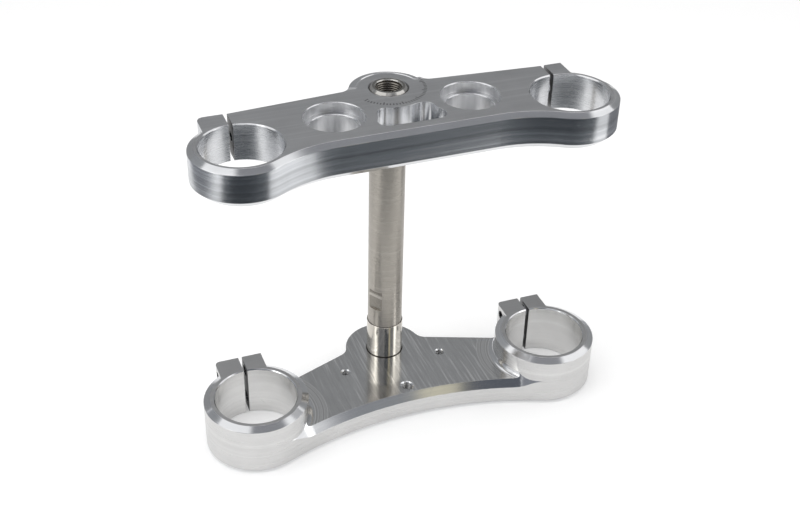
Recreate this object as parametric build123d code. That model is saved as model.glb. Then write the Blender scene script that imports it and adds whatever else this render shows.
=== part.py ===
from build123d import *
import os
from math import acos, atan2, cos, degrees, hypot, radians, sin, sqrt, tan

# Motorcycle triple clamp in millimetres, with +Z up along the steering axis.
# The origin is on the steering axis, at the underside of the lower clamp.
# The front of the motorcycle looks along -Y, and the fork legs are ahead of the stem.

# Fork layout
fork_spacing = 210.0
fork_offset = 41.5
upper_fork_bore = 50.0
lower_fork_bore = 54.0

# Heights
lower_plate_thickness = 19.5
lower_ring_height = 37.2
clamp_gap = 180.8
upper_thickness = 24.8

# Shared machining sizes
split_width = 2.5
pinch_tap = 6.8
pinch_clearance = 8.4
bore_edge_break = 0.7
hole_edge_break = 0.5
through_margin = 5.0
touch = 1e-3

# Upper clamp
upper_ring_wall = 6.5
upper_front = 58.4
upper_front_blend = 75.0
upper_back_start = 5.0
upper_back_slope = 4.1
upper_bevel_width = 4.0
upper_bevel_drop = 2.3
upper_bottom_bevel = 4.4
upper_boss_radius = 25.0
upper_boss_bevel_width = 4.6
upper_boss_bevel_drop = 1.4
upper_boss_blend = 7.0
upper_lug_left = 17.6
upper_lug_right = 13.0
upper_lug_back = 39.4
upper_lug_corner = 4.5
upper_lug_blend = 3.0
upper_pinch_drop = 11.7
upper_pinch_reach = 22.0
stem_bore_edge_break = 0.9

# Handlebar clamp seats
bar_seat_spread = 88.4
bar_seat_offset = 26.2
bar_seat_bore = 37.6
bar_seat_depth = 6.5
bar_bolt_bore = 30.6

# Window between the handlebar seats
window_boss_wall = 27.0
window_seat_wall = 7.2
window_front = 47.7
window_corner = 6.5

# Lower clamp
lower_ring_wall = 7.5
lower_front = 56.0
lower_back_start = 13.0
lower_back_slope = 20.6
lower_bevel_width = 4.4
lower_bevel_drop = 2.4
front_bevel_width = 3.8
front_bevel_drop = 5.2
front_bevel_blend = 30.0
lower_bottom_bevel = 2.9
lower_boss_radius = 27.4
lower_boss_blend = 9.0
lower_lug_left = 17.5
lower_lug_right = 14.6
lower_lug_back = 42.0
lower_lug_corner = 3.2
lower_lug_blend = 4.5
ring_foot_blend = 4.0
lower_pinch_drop = 6.4
lower_pinch_lift = 9.0

# Tapped holes in the lower plate
guide_hole_tap = 5.0
guide_hole_spread = 70.4
guide_hole_offset = 18.4
stop_hole_tap = 6.8
stop_hole_offset = 45.4

# Steering stem
stem_press = 26.0
stem_journal = 25.0
stem_journal_length = 26.4
stem_shaft = 23.8
stem_seat = 24.0
stem_seat_length = 29.4
stem_proud = 1.3
stem_top_break = 1.6
stem_thread_bore = 16.5
stem_thread_depth = 34.0
stem_thread_lead = 0.6
drill_point = 30.0
stem_shoulder_break = 0.4
stem_flange = 32.0
stem_flange_thickness = 4.0
fit_clearance = 0.01

# Steering lock notch, on the front left of the stem
notch_angle = 58.0
notch_depth = 1.3
notch_lift = 40.0
notch_height = 15.5

# Sizes worked out from the ones above
fork_x = fork_spacing / 2
upper_ring_radius = upper_fork_bore / 2 + upper_ring_wall
lower_ring_radius = lower_fork_bore / 2 + lower_ring_wall
window_seat_radius = bar_seat_bore / 2 + window_seat_wall
upper_bottom = lower_plate_thickness + clamp_gap
upper_top = upper_bottom + upper_thickness
stem_top = upper_top + stem_proud
stem_bore = stem_seat + 2 * fit_clearance
press_bore = stem_press + 2 * fit_clearance
flange_bore = stem_flange + 2 * fit_clearance


def cylinder_at(x, y, bottom, top, radius):
    """An upright cylinder between two heights."""
    return Pos(x, y, (bottom + top) / 2) * Cylinder(radius, top - bottom)


def cone_at(x, y, bottom, top, bottom_radius, top_radius):
    """An upright cone between two heights."""
    return Pos(x, y, (bottom + top) / 2) * Cone(bottom_radius, top_radius, top - bottom)


def through_hole(x, y, bottom, top, radius, edge_break):
    """The tool that drills a hole and breaks both its edges."""
    outer = radius + edge_break
    drill = cylinder_at(x, y, bottom - through_margin, top + through_margin, radius)
    upper = cone_at(x, y, top - edge_break, top, radius, outer)
    lower = cone_at(x, y, bottom, bottom + edge_break, outer, radius)
    return drill + upper + lower


def cross_hole(x_from, x_to, y, z, radius):
    """The tool that drills along X."""
    return Pos((x_from + x_to) / 2, y, z) * Rot(0, 90, 0) * Cylinder(radius, abs(x_to - x_from))


def fork_centers():
    """The two fork leg centres, left one first."""
    return ((-fork_x, -fork_offset), (fork_x, -fork_offset))


def rounded(plan, radius, wanted):
    """Rounds the corners of a plan that a test picks out."""
    return fillet([corner for corner in plan.vertices() if wanted(corner.X, corner.Y)], radius)


def near(x, y):
    """A test for corners at a point."""
    return lambda at_x, at_y: hypot(at_x - x, at_y - y) < touch


def on_circle(x, y, radius):
    """A test for corners that lie on a circle."""
    return lambda at_x, at_y: abs(hypot(at_x - x, at_y - y) - radius) < touch


def straight_front(front, blend, ring_radius):
    """A straight front edge that sweeps out to each fork ring in a hollow arc."""
    reach = blend + ring_radius
    arc_x = fork_x - sqrt(reach**2 - (front + blend - fork_offset) ** 2)
    arc_y = -front - blend
    touch_x = fork_x + (arc_x - fork_x) * ring_radius / reach
    touch_y = -fork_offset + (arc_y + fork_offset) * ring_radius / reach
    half_turn = (atan2(touch_y - arc_y, touch_x - arc_x) + radians(90)) / 2
    middle = (arc_x + blend * cos(half_turn), arc_y + blend * sin(half_turn))
    right = ThreePointArc((arc_x, -front), middle, (touch_x, touch_y))
    left = ThreePointArc((-touch_x, touch_y), (-middle[0], middle[1]), (-arc_x, -front))
    return [left, Line((-arc_x, -front), (arc_x, -front)), right]


def hollow_radius(front, ring_radius):
    """Radius of the one hollow arc that touches both fork rings."""
    lead = front - fork_offset
    return (fork_x**2 + lead**2 - ring_radius**2) / (2 * (ring_radius - lead))


def hollow_front(front, ring_radius):
    """A front edge that is one long hollow arc between the fork rings."""
    blend = hollow_radius(front, ring_radius)
    scale = ring_radius / (blend + ring_radius)
    touch_x = fork_x * (1 - scale)
    touch_y = -fork_offset - (blend + front - fork_offset) * scale
    return [ThreePointArc((-touch_x, touch_y), (0, -front), (touch_x, touch_y))]


def web(front_edges, back_start, back_slope):
    """The plan between the fork centres, from its front edges and a sloping back."""
    first, last = front_edges[0] @ 0, front_edges[-1] @ 1
    back = back_start - fork_x * tan(radians(back_slope))
    rest = Polyline(
        (last.X, last.Y),
        (fork_x, -fork_offset),
        (fork_x, back),
        (0, back_start),
        (-fork_x, back),
        (-fork_x, -fork_offset),
        (first.X, first.Y),
    )
    return Sketch() + make_face([*front_edges, *rest.edges()])


def lug(center_x, left, right, back):
    """Plan of the flat block behind a fork bore that the pinch screws draw together."""
    low, high = -fork_offset, back - fork_offset
    start, end = center_x + left, center_x + right
    corners = Polyline((start, low), (end, low), (end, high), (start, high), (start, low))
    return Sketch() + make_face(corners.edges())


def ring_blank(center_x, bottom, top, reach, land, width, drop):
    """A round blank whose top bevel starts at the land radius and runs outward."""
    low = top - drop * (reach - land) / width
    return (cylinder_at(center_x, -fork_offset, bottom, low, reach)
            + cone_at(center_x, -fork_offset, low, top, reach, land))


def ring_body(center_x, bottom, top, radius, width, drop, block, blend, sides):
    """A fork ring with its bevelled rim, its lug and the hollow roots between them."""
    circle = Pos(center_x, -fork_offset) * Circle(radius)
    outline = rounded(block + circle, blend, lug_roots(center_x, sides, radius))
    roots = Sketch() + [face for face in (outline - block).faces()]
    rim = extrude(Pos(0, 0, bottom) * roots, top - bottom)
    rim &= ring_blank(center_x, bottom, top, radius + width, radius - width, width, drop)
    return rim + extrude(Pos(0, 0, bottom) * block, top - bottom)


def lug_roots(center_x, sides, ring_radius):
    """A test for the hollow corners where the lug sides run into their ring."""
    def wanted(x, y):
        roots = [(center_x + side, sqrt(ring_radius**2 - side**2) - fork_offset) for side in sides]
        return any(near(*root)(x, y) for root in roots)
    return wanted


def split_cut(center_x, bottom, top, back):
    """The saw cut from a fork bore out through the back of its lug."""
    length = back + through_margin
    height = top - bottom + 2 * through_margin
    return Pos(center_x, -fork_offset + length / 2, (bottom + top) / 2) * Box(split_width, length, height)


def edges_at(body, height, wanted):
    """The edges of a body at one height whose middle passes a test."""
    level = [edge for edge in body.edges() if abs((edge @ 0).Z - height) + abs((edge @ 1).Z - height) < touch]
    return [edge for edge in level if wanted((edge @ 0.5).X, (edge @ 0.5).Y)]


def bevel(body, height, width, drop, wanted):
    """Bevels top edges by a width across the top face and a drop down the wall."""
    top_face = body.faces().filter_by(Axis.Z).sort_by(Axis.Z)[-1]
    return chamfer(edges_at(body, height, wanted), width, drop, reference=top_face)


def upper_web():
    """The upper plate between the fork centres, bevelled along its front."""
    front = straight_front(upper_front, upper_front_blend, upper_ring_radius)
    plan = web(front, upper_back_start, upper_back_slope) + Circle(upper_boss_radius)
    plan = rounded(plan, upper_boss_blend, on_circle(0, 0, upper_boss_radius))
    body = extrude(Pos(0, 0, upper_bottom) * plan, upper_thickness)
    body = bevel(body, upper_top, upper_bevel_width, upper_bevel_drop, lambda x, y: y < touch - upper_front)
    return body - boss_bevel()


def boss_bevel():
    """The tool for the bevel round the back of the boss, between its two hollow blends."""
    slope = radians(upper_back_slope)
    reach = upper_boss_radius + upper_boss_blend
    start = 90 - upper_back_slope - degrees(acos((upper_back_start * cos(slope) + upper_boss_blend) / reach))
    land = upper_boss_radius - upper_boss_bevel_width
    outer = upper_boss_radius + upper_boss_bevel_width
    low = upper_top - 2 * upper_boss_bevel_drop
    section = Polyline((land, upper_top), (outer, low), (outer, upper_top), (land, upper_top))
    wedge = Rot(0, 0, start) * Rot(90, 0, 0) * make_face(section.edges())
    return revolve(wedge, Axis.Z, 180 - 2 * start)


def upper_ring(side):
    """One fork ring of the upper clamp, with its lug on the outside of the saw cut."""
    center_x = side * fork_x
    reach = upper_lug_left if side < 0 else upper_lug_right
    block = lug(center_x, min(side * reach, 0), max(side * reach, 0), upper_lug_back)
    if side < 0:
        block = rounded(block, upper_lug_corner, near(center_x - reach, upper_lug_back - fork_offset))
    return ring_body(center_x, upper_bottom, upper_top, upper_ring_radius, upper_bevel_width,
                     upper_bevel_drop, block, upper_lug_blend, [side * reach])


def seat_blend(side):
    """Plan of the hollow corner where the wall round the boss runs into the wall round one seat."""
    seat_x, seat_y = side * bar_seat_spread / 2, -bar_seat_offset
    boss_reach = window_boss_wall + window_corner
    seat_reach = window_seat_radius + window_corner
    span = hypot(seat_x, seat_y)
    along = (span**2 + boss_reach**2 - seat_reach**2) / (2 * span)
    aside = side * sqrt(boss_reach**2 - along**2)
    x = (along * seat_x + aside * seat_y) / span
    y = (along * seat_y - aside * seat_x) / span
    corner = Polyline((0, 0), (seat_x, seat_y), (x, y), (0, 0))
    return make_face(corner.edges()) - Pos(x, y) * Circle(window_corner)


def window_plan():
    """Plan of the window between the boss and the two handlebar seats."""
    plan = Pos(0, -window_front / 2) * Rectangle(bar_seat_spread, window_front)
    plan -= Circle(window_boss_wall)
    for side in (-1, 1):
        plan -= Pos(side * bar_seat_spread / 2, -bar_seat_offset) * Circle(window_seat_radius)
        plan -= seat_blend(side)
    middle = Face(plan.faces().sort_by(SortBy.AREA)[-1].outer_wire())
    return rounded(middle, window_corner, lambda x, y: abs(y + window_front) < touch)


def bar_seat(x):
    """The tool that counterbores and drills one handlebar clamp seat."""
    y = -bar_seat_offset
    floor = upper_top - bar_seat_depth
    seat_radius = bar_seat_bore / 2
    bolt_radius = bar_bolt_bore / 2
    drill = cylinder_at(x, y, upper_bottom - through_margin, upper_top, bolt_radius)
    seat = cylinder_at(x, y, floor, upper_top + through_margin, seat_radius)
    lead = cone_at(x, y, upper_top - hole_edge_break, upper_top, seat_radius, seat_radius + hole_edge_break)
    step = cone_at(x, y, floor - hole_edge_break, floor, bolt_radius, bolt_radius + hole_edge_break)
    under = cone_at(x, y, upper_bottom, upper_bottom + hole_edge_break, bolt_radius + hole_edge_break, bolt_radius)
    return drill + seat + lead + step + under


def upper_pinch(side):
    """The tool for one pinch screw: clearance through the lug, then a tapped hole in the web."""
    y = pinch_y(upper_fork_bore, upper_lug_back)
    z = upper_top - upper_pinch_drop
    center_x = side * fork_x
    outside = center_x + side * (upper_lug_left + through_margin)
    inside = center_x - side * upper_pinch_reach
    return cross_hole(outside, center_x, y, z, pinch_clearance / 2) + cross_hole(center_x, inside, y, z, pinch_tap / 2)


def pinch_y(bore, lug_back):
    """Pinch screws run midway between the fork bore and the back of the lug."""
    return -fork_offset + (bore / 2 + lug_back) / 2


def upper_clamp():
    """The upper clamp, machined from one plate."""
    body = upper_web() + upper_ring(-1) + upper_ring(1)
    body = chamfer(edges_at(body, upper_bottom, lambda x, y: True), upper_bottom_bevel)
    for x, y in fork_centers():
        body -= through_hole(x, y, upper_bottom, upper_top, upper_fork_bore / 2, bore_edge_break)
        body -= split_cut(x, upper_bottom, upper_top, upper_lug_back)
    body -= through_hole(0, 0, upper_bottom, upper_top, stem_bore / 2, stem_bore_edge_break)
    for x in (-bar_seat_spread / 2, bar_seat_spread / 2):
        body -= bar_seat(x)
    body -= Pos(0, 0, upper_bottom - through_margin) * extrude(window_plan(), upper_thickness + 2 * through_margin)
    for side in (-1, 1):
        body -= upper_pinch(side)
    return body


def front_cut_plan(inset=0.0):
    """Plan of what the front bevel cuts away, with its corners eased into the rings."""
    lead = front_bevel_width - inset
    hollow = hollow_radius(lower_front, lower_ring_radius)
    center_y = -lower_front - hollow
    plan = Pos(0, center_y) * Circle(hollow + lead)
    for x, y in fork_centers():
        plan -= Pos(x, y) * Circle(lower_ring_radius + inset)
    plan &= Pos(0, -lower_front - front_bevel_width) * Rectangle(fork_spacing, 2 * lower_ring_radius)
    plan = Sketch() + Face(plan.faces().sort_by(SortBy.AREA)[-1].outer_wire())
    on_land = on_circle(0, center_y, hollow + lead)
    return rounded(plan, front_bevel_blend - inset, on_land)


def front_bevel():
    """The tool for the bevel along the front of the lower plate, fading out on the rings."""
    rise = front_bevel_width * ring_foot_blend / front_bevel_drop
    upper = Pos(0, 0, lower_plate_thickness + ring_foot_blend) * front_cut_plan(-rise)
    lower = Pos(0, 0, lower_plate_thickness - front_bevel_drop) * front_cut_plan(front_bevel_width)
    return loft([upper.face(), lower.face()], ruled=True)


def ring_foot(x, y):
    """The hollow blend between a fork ring and the plate top."""
    inner = lower_ring_radius - through_margin
    outer = lower_ring_radius + ring_foot_blend
    low, high = lower_plate_thickness, lower_plate_thickness + ring_foot_blend
    middle = ring_foot_blend * (1 - sqrt(0.5))
    arc = ThreePointArc((outer, low), (lower_ring_radius + middle, low + middle), (lower_ring_radius, high))
    rest = Polyline((lower_ring_radius, high), (inner, high), (inner, low), (outer, low))
    profile = Rot(90, 0, 0) * make_face([arc, *rest.edges()])
    return Pos(x, y, 0) * revolve(profile, Axis.Z)


def lower_web_plan():
    """Plan of the lower plate between the rings, with the boss around the stem."""
    front = hollow_front(lower_front, lower_ring_radius)
    plan = web(front, lower_back_start, lower_back_slope) + Circle(lower_boss_radius)
    return rounded(plan, lower_boss_blend, on_circle(0, 0, lower_boss_radius))


def lower_ring(center_x):
    """One fork ring of the lower clamp, with its lug on both sides of the saw cut."""
    block = lug(center_x, -lower_lug_left, lower_lug_right, lower_lug_back)
    block = rounded(block, lower_lug_corner, near(center_x - lower_lug_left, lower_lug_back - fork_offset))
    return ring_body(center_x, 0, lower_ring_height, lower_ring_radius, lower_bevel_width,
                     lower_bevel_drop, block, lower_lug_blend, [-lower_lug_left, lower_lug_right])


def lower_pinch(center_x, z):
    """The tool for one pinch screw: clearance on the right of the saw cut, thread on the left."""
    y = pinch_y(lower_fork_bore, lower_lug_back)
    right = center_x + lower_lug_right + through_margin
    left = center_x - lower_lug_left - through_margin
    return cross_hole(center_x, right, y, z, pinch_clearance / 2) + cross_hole(left, center_x, y, z, pinch_tap / 2)


def lower_clamp():
    """The lower clamp, machined from one block."""
    plan = lower_web_plan()
    body = extrude(plan, lower_plate_thickness)
    for x, y in fork_centers():
        body += ring_foot(x, y) & extrude(plan, lower_plate_thickness + ring_foot_blend)
    body -= front_bevel()
    for x, y in fork_centers():
        body += lower_ring(x)
    body = chamfer(edges_at(body, 0, lambda x, y: True), lower_bottom_bevel)
    for x, y in fork_centers():
        body -= through_hole(x, y, 0, lower_ring_height, lower_fork_bore / 2, bore_edge_break)
        body -= split_cut(x, 0, lower_ring_height, lower_lug_back)
        for z in (lower_pinch_lift, lower_ring_height - lower_pinch_drop):
            body -= lower_pinch(x, z)
    for x in (-guide_hole_spread / 2, guide_hole_spread / 2):
        body -= through_hole(x, -guide_hole_offset, 0, lower_plate_thickness, guide_hole_tap / 2, hole_edge_break)
    body -= through_hole(0, -stop_hole_offset, 0, lower_plate_thickness, stop_hole_tap / 2, hole_edge_break)
    body -= cylinder_at(0, 0, -through_margin, lower_plate_thickness + through_margin, press_bore / 2)
    body -= cylinder_at(0, 0, -through_margin, stem_flange_thickness, flange_bore / 2)
    return body


def stem_profile():
    """Half section of the stem, from its bottom flange to its bevelled top end."""
    journal_top = lower_plate_thickness + stem_journal_length
    seat_bottom = upper_bottom - stem_seat_length
    return [
        (0, 0),
        (stem_flange / 2 - stem_shoulder_break, 0),
        (stem_flange / 2, stem_shoulder_break),
        (stem_flange / 2, stem_flange_thickness),
        (stem_press / 2, stem_flange_thickness),
        (stem_press / 2, lower_plate_thickness),
        (stem_journal / 2, lower_plate_thickness),
        (stem_journal / 2, journal_top - stem_shoulder_break),
        (stem_journal / 2 - stem_shoulder_break, journal_top),
        (stem_shaft / 2, journal_top),
        (stem_shaft / 2, seat_bottom),
        (stem_seat / 2, seat_bottom),
        (stem_seat / 2, stem_top - stem_top_break),
        (stem_seat / 2 - stem_top_break, stem_top),
        (0, stem_top),
    ]


def lock_notch():
    """The flat that the steering lock bolt drops into."""
    far = stem_shaft / 2
    middle = lower_plate_thickness + notch_lift + notch_height / 2
    cut = Pos(0, -far - stem_shaft / 2 + notch_depth, middle)
    return Rot(0, 0, -notch_angle) * cut * Box(stem_shaft, stem_shaft, notch_height)


def steering_stem():
    """The steering stem, turned from one bar."""
    outline = Polyline(*stem_profile(), (0, 0))
    body = revolve(Rot(90, 0, 0) * make_face(outline.edges()), Axis.Z)
    thread_floor = stem_top - stem_thread_depth
    radius = stem_thread_bore / 2
    body -= cylinder_at(0, 0, thread_floor, stem_top + through_margin, radius)
    body -= cone_at(0, 0, thread_floor - radius * tan(radians(drill_point)), thread_floor, 0, radius)
    body -= cone_at(0, 0, stem_top - stem_thread_lead, stem_top, radius, radius + stem_thread_lead)
    return body - lock_notch()


def build():
    """All the pieces by node name."""
    return {
        "lower_clamp": lower_clamp(),
        "upper_clamp": upper_clamp(),
        "steering_stem": steering_stem(),
    }


def write(nodes):
    """Writes each piece to its own file."""
    os.makedirs("parts", exist_ok=True)
    for name, piece in nodes.items():
        piece.label = name
        export_step(piece, f"parts/{name}.step")


if __name__ == "__main__":
    write(build())
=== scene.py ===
import logging
import math
from dataclasses import dataclass, field, replace
from enum import Enum
from typing import ClassVar, Union

import bpy
from mathutils import Euler, Matrix, Vector


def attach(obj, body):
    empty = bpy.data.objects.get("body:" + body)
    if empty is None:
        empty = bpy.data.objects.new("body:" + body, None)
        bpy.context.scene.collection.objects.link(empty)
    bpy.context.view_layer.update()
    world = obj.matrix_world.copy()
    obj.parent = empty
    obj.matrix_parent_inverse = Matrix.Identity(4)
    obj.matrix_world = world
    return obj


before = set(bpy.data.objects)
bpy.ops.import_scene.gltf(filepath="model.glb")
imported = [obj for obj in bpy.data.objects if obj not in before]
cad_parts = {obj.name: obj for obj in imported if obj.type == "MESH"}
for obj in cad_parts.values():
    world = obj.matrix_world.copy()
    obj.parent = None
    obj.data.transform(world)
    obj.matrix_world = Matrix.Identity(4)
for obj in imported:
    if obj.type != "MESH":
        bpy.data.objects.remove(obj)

log = logging.getLogger("triple_clamp")
Colour = tuple[float, float, float]
Point = tuple[float, float, float]
Span = tuple[float, float]
Node = bpy.types.Node
Socket = bpy.types.NodeSocket
Tree = bpy.types.NodeTree
Value = Union[Socket, float]


class Surface(Enum):
    """The machined surfaces of a clamp, each with its own finish."""

    TOP = "top"
    BEVEL = "bevel"
    WALL = "wall"
    BORE = "bore"
    STEM_EDGE = "stem_edge"
    SEAT = "seat"
    POCKET = "pocket"
    UNDERSIDE = "underside"
    PLATE = "plate"
    SPLIT = "split"


class Marks(Enum):
    """What a finish carries besides its cutter lines."""

    NONE = "none"
    INDEX_RING = "index_ring"
    ARCS = "arcs"


def add_node(tree: Tree, kind: str, inputs: dict | None = None, **settings: object) -> Node:
    """Adds a node to a tree, sets it up and links it.

    Args:
        tree: The node tree that gets the node.
        kind: The Blender type of the node.
        inputs: Values or sockets for its inputs, by name or number.
        **settings: Properties of the node.

    Returns:
        The new node.
    """
    made = tree.nodes.new(kind)
    for name, value in settings.items():
        setattr(made, name, value)
    for key, value in (inputs or {}).items():
        if isinstance(value, bpy.types.NodeSocket):
            tree.links.new(value, made.inputs[key])
        else:
            made.inputs[key].default_value = value
    return made


def add_math(tree: Tree, operation: str, *values: Value) -> Socket:
    """Adds a Math node.

    Args:
        tree: The node tree that gets the node.
        operation: What it works out.
        *values: Its values or sockets, in order.

    Returns:
        The socket with the result.
    """
    return add_node(tree, "ShaderNodeMath", dict(enumerate(values)), operation=operation).outputs[0]


def add_range(tree: Tree, value: Value, source: Span, target: Span = (0.0, 1.0), smooth: bool = False) -> Socket:
    """Adds a node that maps one range of values onto another and stays within it.

    Args:
        tree: The node tree that gets the node.
        value: The socket with the value.
        source: The values that give the ends of the new range.
        target: The ends of the new range.
        smooth: Whether the value eases in and out.

    Returns:
        The socket with the result.
    """
    inputs = {
        "Value": value, "From Min": source[0], "From Max": source[1], "To Min": target[0], "To Max": target[1],
    }
    curve = "SMOOTHSTEP" if smooth else "LINEAR"
    return add_node(tree, "ShaderNodeMapRange", inputs, interpolation_type=curve).outputs[0]


def mix_colours(tree: Tree, share: Value, first: Socket | Colour, second: Socket | Colour) -> Socket:
    """Adds a node that mixes two colours, each a socket or a plain colour.

    Args:
        tree: The node tree that gets the node.
        share: How much of the second colour there is.
        first: The colour at 0.
        second: The colour at 1.

    Returns:
        The socket with the mixed colour.
    """
    both = [(*colour, 1.0) if isinstance(colour, tuple) else colour for colour in (first, second)]
    return add_node(tree, "ShaderNodeMix", {0: share, 6: both[0], 7: both[1]}, data_type="RGBA").outputs[2]


def mix_values(tree: Tree, share: Value, first: Value, second: Value) -> Socket:
    """Adds a node that mixes two values.

    Args:
        tree: The node tree that gets the node.
        share: How much of the second value there is.
        first: The value at 0.
        second: The value at 1.

    Returns:
        The socket with the mixed value.
    """
    return add_node(tree, "ShaderNodeMix", {0: share, 2: first, 3: second}, data_type="FLOAT").outputs[0]


class GroupKit:
    """A shader node group under construction, with named sockets."""

    def __init__(self, name: str) -> None:
        """Starts an empty group.

        Args:
            name: The name of the group.
        """
        self.tree = bpy.data.node_groups.new(name, "ShaderNodeTree")
        self.entry = self.tree.nodes.new("NodeGroupInput")
        self.exit = self.tree.nodes.new("NodeGroupOutput")

    def take(self, name: str, kind: str) -> Socket:
        """Adds an input socket.

        Args:
            name: The name of the socket.
            kind: Float, Vector or Color.

        Returns:
            The socket inside the group that carries the input.
        """
        self.tree.interface.new_socket(name, in_out="INPUT", socket_type=f"NodeSocket{kind}")
        return self.entry.outputs[name]

    def take_axes(self) -> tuple[Socket, Socket]:
        """Adds the input for the place and splits off its level axes.

        Returns:
            The sockets with the place along X and along Y.
        """
        axes = self.node("ShaderNodeSeparateXYZ", {0: self.take("Place", "Vector")})
        return axes.outputs[0], axes.outputs[1]

    def give(self, name: str, kind: str, source: Socket) -> None:
        """Adds an output socket and feeds it.

        Args:
            name: The name of the socket.
            kind: Float, Vector or Color.
            source: The socket inside the group that feeds it.
        """
        self.tree.interface.new_socket(name, in_out="OUTPUT", socket_type=f"NodeSocket{kind}")
        self.tree.links.new(source, self.exit.inputs[name])

    def node(self, kind: str, inputs: dict | None = None, **settings: object) -> Node:
        """Adds a node to the group, as add_node does."""
        return add_node(self.tree, kind, inputs, **settings)

    def math(self, operation: str, *values: Value) -> Socket:
        """Adds a Math node to the group, as add_math does."""
        return add_math(self.tree, operation, *values)

    def span(self, value: Value, low: float, high: float) -> Socket:
        """Adds a node that goes from 0 at one value to 1 at another."""
        return add_range(self.tree, value, (low, high))

    def between(self, value: Value, low: Value, high: Value) -> Socket:
        """Adds nodes that give 1 where a value lies between two others, and 0 elsewhere."""
        return self.math("MULTIPLY", self.math("GREATER_THAN", value, low), self.math("LESS_THAN", value, high))

    def reach(self, across: Socket, along: Socket) -> Socket:
        """Adds nodes that work out how long a level offset is.

        Args:
            across: The socket with the offset along X.
            along: The socket with the offset along Y.

        Returns:
            The socket with the length.
        """
        flat = self.node("ShaderNodeCombineXYZ", {0: across, 1: along}).outputs[0]
        return self.node("ShaderNodeVectorMath", {0: flat}, operation="LENGTH").outputs["Value"]

    def noise(self, place: Socket, scale: Value, detail: float, roughness: float = 0.5) -> Node:
        """Adds a Noise node.

        Args:
            place: The socket with the place.
            scale: How fine the noise is.
            detail: How many finer layers it has.
            roughness: How strong these layers are.

        Returns:
            The noise node.
        """
        return self.node("ShaderNodeTexNoise", {
            "Vector": place, "Scale": scale, "Detail": detail, "Roughness": roughness,
        })


class Effect:
    """A shader node group that several finishes may share, built once."""

    _built: ClassVar[dict["Effect", Tree]] = {}

    def build(self) -> Tree:
        """Builds the group, in each effect's own way."""
        raise NotImplementedError

    def place(self, tree: Tree, inputs: dict) -> Node:
        """Puts the group into a material.

        Args:
            tree: The material's node tree.
            inputs: Values or sockets for the group's inputs.

        Returns:
            The group node.
        """
        if self not in Effect._built:
            Effect._built[self] = self.build()
        return add_node(tree, "ShaderNodeGroup", inputs, node_tree=Effect._built[self])


@dataclass(frozen=True)
class CutterLines(Effect):
    """The fine lines and the wider streaks that a cutter leaves."""

    streaks: Span = (0.56, 0.72)
    bands: Span = (0.35, 0.65)

    def build(self) -> Tree:
        """Builds the group.

        Returns:
            A group that puts out a height, the streaks, the fine lines and the wide bands.
        """
        kit = GroupKit("cutter_lines")
        place = kit.take("Place", "Vector")
        stretch = kit.take("Stretch", "Vector")
        coarse = kit.take("Streak Scale", "Float")
        share = kit.take("Streak Share", "Float")
        spot = kit.node("ShaderNodeVectorMath", {0: place, 1: stretch}, operation="MULTIPLY").outputs[0]
        fine = kit.noise(spot, 1.0, 3.0, 0.65).outputs["Fac"]
        wide = kit.noise(spot, coarse, 2.0).outputs["Fac"]
        streaks = kit.span(wide, *self.streaks)
        kit.give("Height", "Float", kit.math("ADD", fine, kit.math("MULTIPLY", streaks, share)))
        kit.give("Streaks", "Float", streaks)
        kit.give("Fine", "Float", fine)
        kit.give("Bands", "Float", kit.span(wide, *self.bands))
        return kit.tree


@dataclass(frozen=True)
class Handling(Effect):
    """The soft clouding and the stray hairline scratches of handling."""

    cloud_scale: float = 45.0
    cell_scale: float = 70.0
    hair: float = 0.012
    bend_scale: float = 60.0
    bend: float = 0.02
    patch: Span = (0.55, 0.7)

    def build(self) -> Tree:
        """Builds the group.

        Returns:
            A group that puts out a clouding value and a mask of the scratches.
        """
        kit = GroupKit("handling")
        place = kit.take("Place", "Vector")
        clouds = kit.noise(place, self.cloud_scale, 4.0, 0.6).outputs["Fac"]
        bend = kit.noise(place, self.bend_scale, 1.0).outputs["Color"]
        moved = kit.node("ShaderNodeVectorMath", {0: bend, "Scale": self.bend}, operation="SCALE").outputs[0]
        spot = kit.node("ShaderNodeVectorMath", {0: place, 1: moved}, operation="ADD").outputs[0]
        cells = kit.node("ShaderNodeTexVoronoi", {"Vector": spot, "Scale": self.cell_scale},
                         feature="DISTANCE_TO_EDGE")
        hair = kit.span(cells.outputs["Distance"], self.hair, 0.0)
        kit.give("Clouds", "Float", clouds)
        kit.give("Scratches", "Float", kit.math("MULTIPLY", hair, kit.span(clouds, *self.patch)))
        return kit.tree


@dataclass(frozen=True)
class CutterArcs(Effect):
    """The arcs that a cutter leaves on the lower plate round the two fork rings."""

    reach: float = 0.0480
    full_reach: float = 0.0465
    fineness: float = 1100.0

    def build(self) -> Tree:
        """Builds the group.

        Returns:
            A group that puts out a mask of the place and the lines in it.
        """
        kit = GroupKit("cutter_arcs")
        x, y = kit.take_axes()
        across = kit.math("SUBTRACT", kit.math("ABSOLUTE", x), LowerClamp.fork_x)
        radius = kit.reach(across, kit.math("SUBTRACT", y, LowerClamp.fork_y))
        spread = kit.math("MULTIPLY", radius, self.fineness)
        arcs = kit.node("ShaderNodeTexNoise", {"W": spread, "Scale": 1.0, "Detail": 2.0}, noise_dimensions="1D")
        kit.give("Mask", "Float", kit.span(radius, self.reach, self.full_reach))
        kit.give("Arcs", "Float", arcs.outputs["Fac"])
        return kit.tree


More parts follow.
